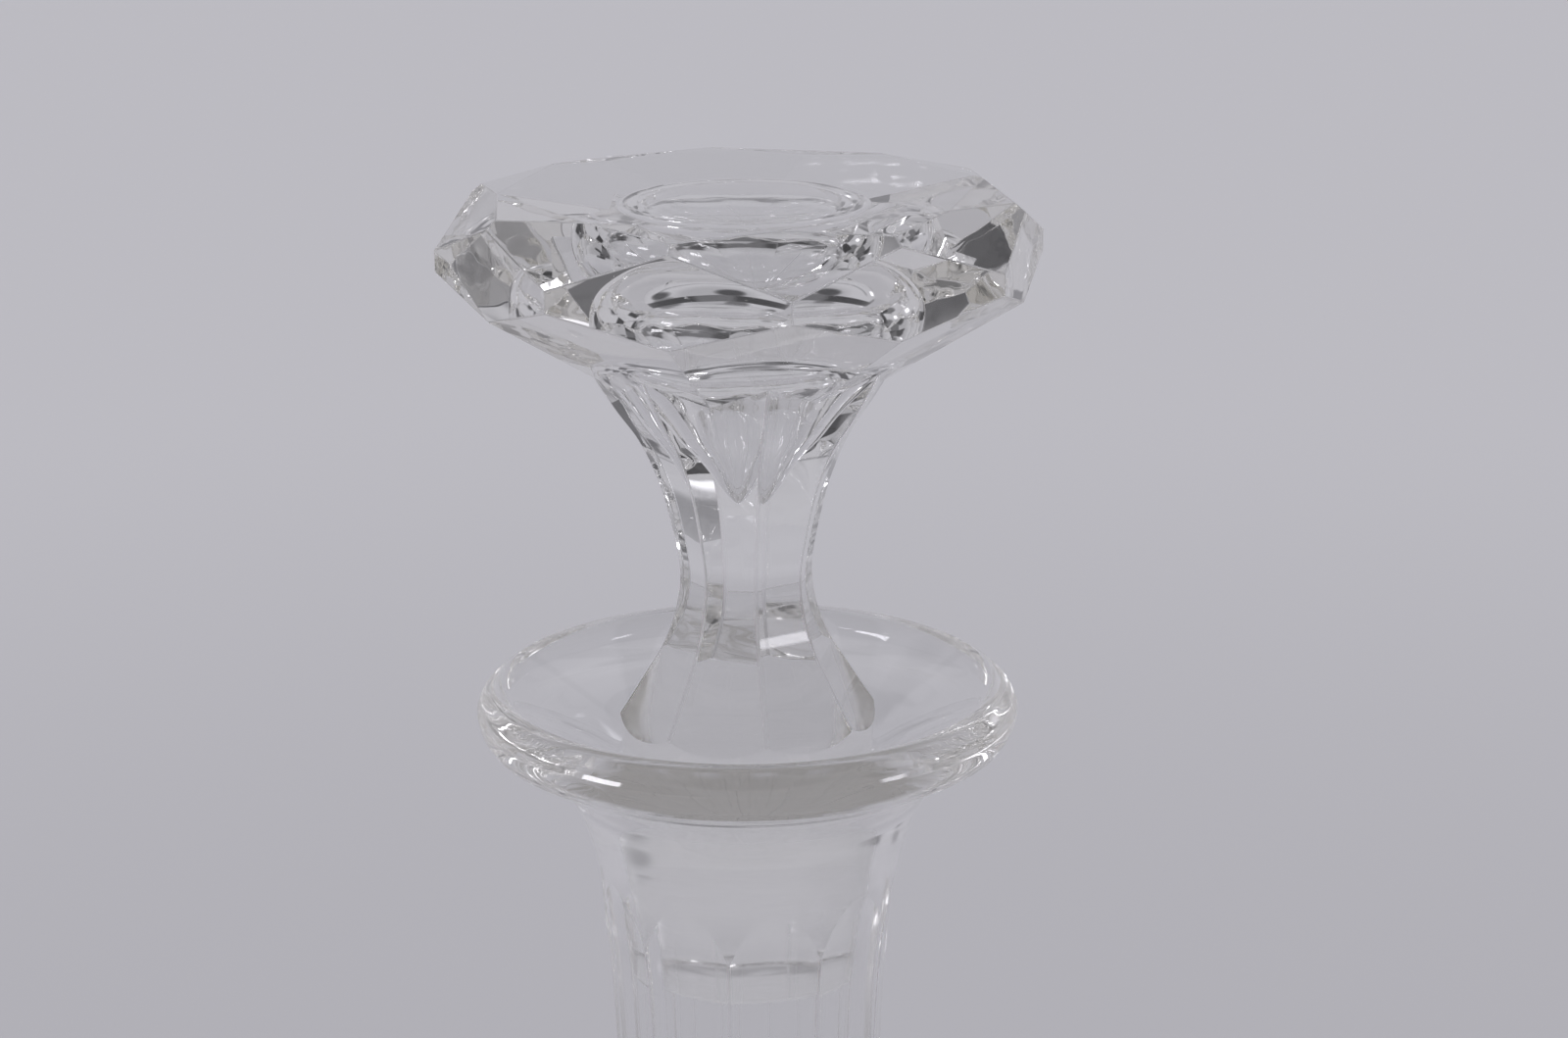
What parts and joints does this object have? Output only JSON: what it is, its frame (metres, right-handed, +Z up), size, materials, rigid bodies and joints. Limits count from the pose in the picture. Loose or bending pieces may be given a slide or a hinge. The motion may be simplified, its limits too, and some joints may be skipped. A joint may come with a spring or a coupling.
{
  "type": "cut crystal decanter",
  "caption": "Panel-cut clear crystal decanter with a wide round lip and a ground-in stopper with an octagonal faceted head.",
  "frame": {"origin": "centre of the flat base, where the decanter stands", "axes": "+Z up along the axis of the bottle and stopper, -Y towards the viewer of the picture"},
  "size_m": [0.1044, 0.1054, 0.2822],
  "materials": {
    "bottle_crystal": "polished clear lead crystal, fire-polished round lip, polished slice-cut panels, ground seat in the neck",
    "stopper_crystal": "polished clear lead crystal with cut facets and faint wheel marks, ground peg"
  },
  "bodies": {
    "bottle": {"bottle": "bottle_crystal"},
    "stopper": {"stopper": "stopper_crystal"}
  },
  "joints": [
    {"name": "stopper_lift", "type": "slide", "parent": "bottle", "child": "stopper", "axis": [0, 0, 1], "range_m": [0, 0.045]}
  ]
}
